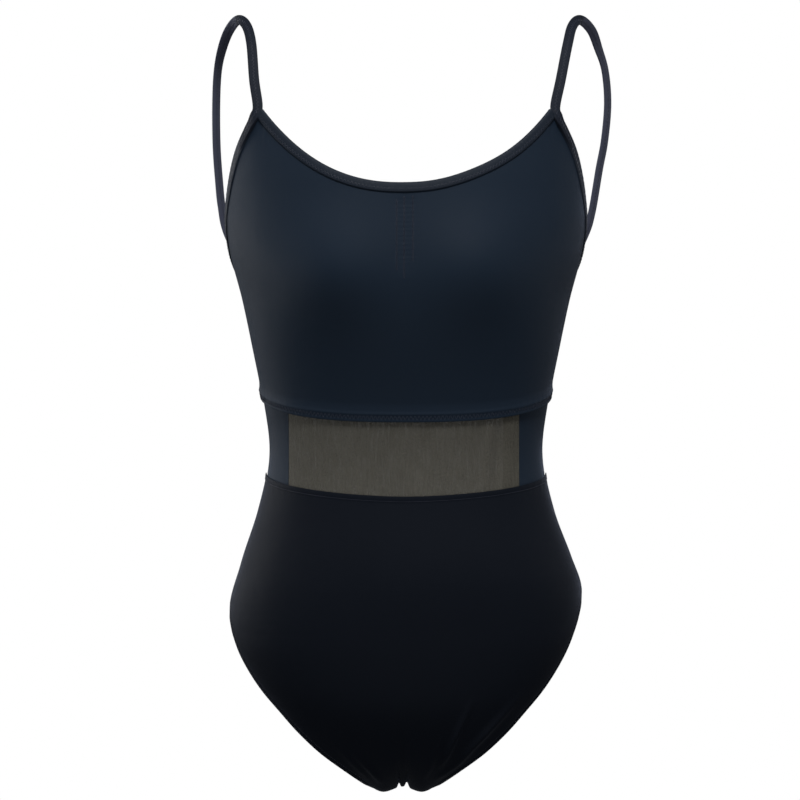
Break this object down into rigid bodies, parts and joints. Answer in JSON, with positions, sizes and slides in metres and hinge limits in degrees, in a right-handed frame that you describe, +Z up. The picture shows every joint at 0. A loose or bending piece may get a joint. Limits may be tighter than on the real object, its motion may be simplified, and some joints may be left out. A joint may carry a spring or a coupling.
{
  "type": "gymnastics leotard",
  "caption": "Sleeveless stretch leotard with a scoop neck, thin shoulder straps, a sheer mesh waist band and high leg openings, filled out as worn.",
  "frame": {"origin": "middle of the waist, where the wearer's torso passes through", "axes": "+Z up along the torso, -Y out of the front, +X towards the wearer's left"},
  "size_m": [0.3734, 0.2218, 0.7154],
  "materials": {
    "bodice_cloth": "matt stretch knit, navy black",
    "brief_cloth": "matt stretch knit, navy black",
    "lining": "thin brushed knit",
    "elastic": "ribbed woven elastic",
    "binding": "folded stretch binding with a faint sheen",
    "strap_tape": "folded stretch binding with a faint sheen",
    "mesh": "sheer power mesh",
    "crotch_cotton": "brushed cotton jersey",
    "label": "blank satin tape"
  },
  "bodies": {
    "garment": {"front_bodice": "bodice_cloth", "front_bodice_lining": "lining", "back_bodice": "bodice_cloth", "center_front_gather_tape": "elastic", "care_label": "label", "front_neck_binding": "binding", "back_neck_binding": "binding", "right_armhole_binding": "binding", "left_armhole_binding": "binding", "front_mesh_panel": "mesh", "back_mesh_panel": "mesh", "right_waist_panel": "bodice_cloth", "left_waist_panel": "bodice_cloth", "underbust_elastic": "elastic", "waist_elastic": "elastic", "front_brief": "brief_cloth", "back_brief": "brief_cloth", "crotch_lining": "crotch_cotton", "right_leg_hem": "brief_cloth", "left_leg_hem": "brief_cloth"},
    "right_strap": {"right_strap": "strap_tape"},
    "left_strap": {"left_strap": "strap_tape"}
  },
  "joints": [
    {"name": "right_strap_swing", "type": "hinge", "parent": "garment", "child": "right_strap", "pos_m": [-0.13716, -0.04937, 0.33239], "axis": [-0.0375, -0.4772, 0.878], "range_deg": [-40, 35]},
    {"name": "left_strap_swing", "type": "hinge", "parent": "garment", "child": "left_strap", "pos_m": [0.13716, -0.04937, 0.33239], "axis": [-0.0375, 0.4772, -0.878], "range_deg": [-40, 35]}
  ]
}
